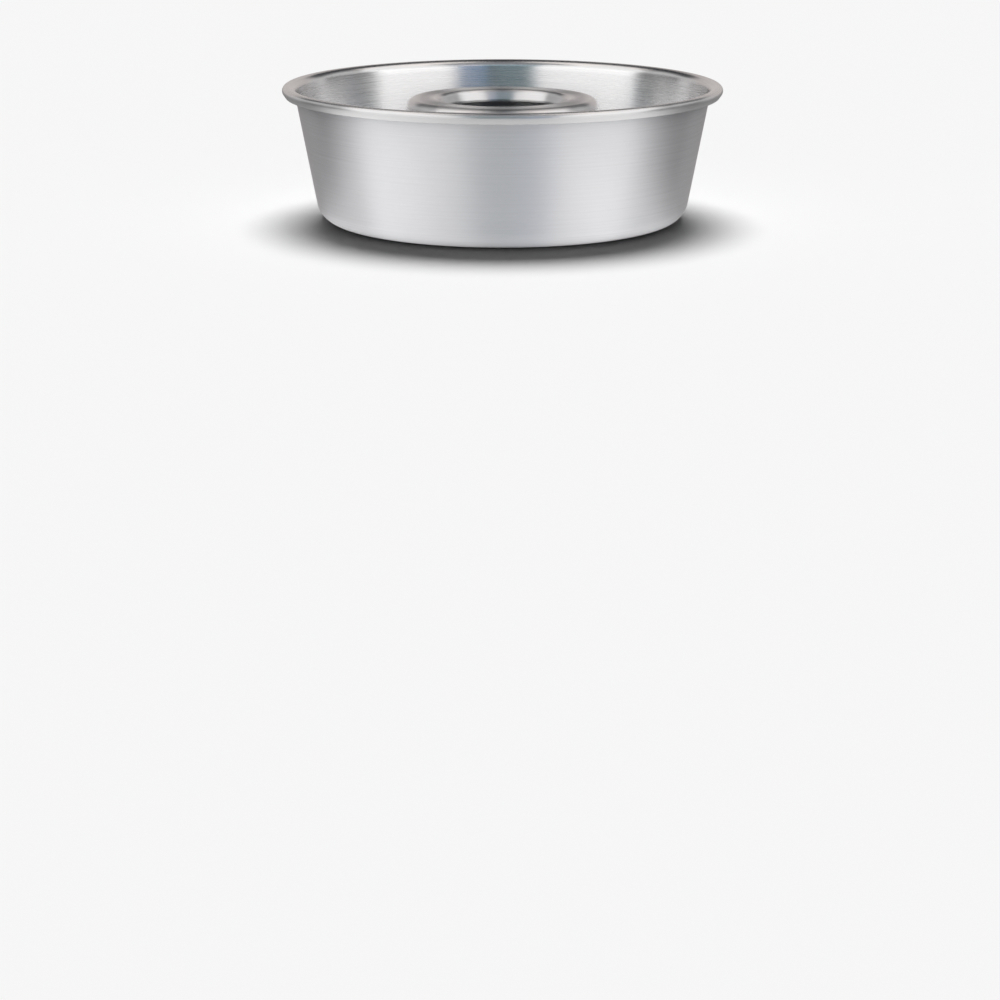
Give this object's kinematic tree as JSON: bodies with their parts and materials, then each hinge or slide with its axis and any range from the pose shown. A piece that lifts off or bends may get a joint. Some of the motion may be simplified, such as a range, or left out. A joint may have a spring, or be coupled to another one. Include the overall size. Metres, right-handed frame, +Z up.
{
  "type": "ring cake pan",
  "caption": "Round ring cake pan drawn from one aluminium sheet, with a rolled rim, tapered wall and a hollow centre hump that ends in a collared hole.",
  "frame": {"origin": "centre of the base, on the surface that the pan stands on", "axes": "+Z up along the pan's axis, out of its open side; +X and +Y are free, because the pan is turned about Z"},
  "size_m": [0.24, 0.24, 0.0735],
  "materials": {
    "aluminium": "bare drawn sheet: satin outside with fine lines round the wall, brighter inside with faint waves round the wall, polished bends"
  },
  "bodies": {
    "root": {"pan": "aluminium"}
  },
  "joints": []
}
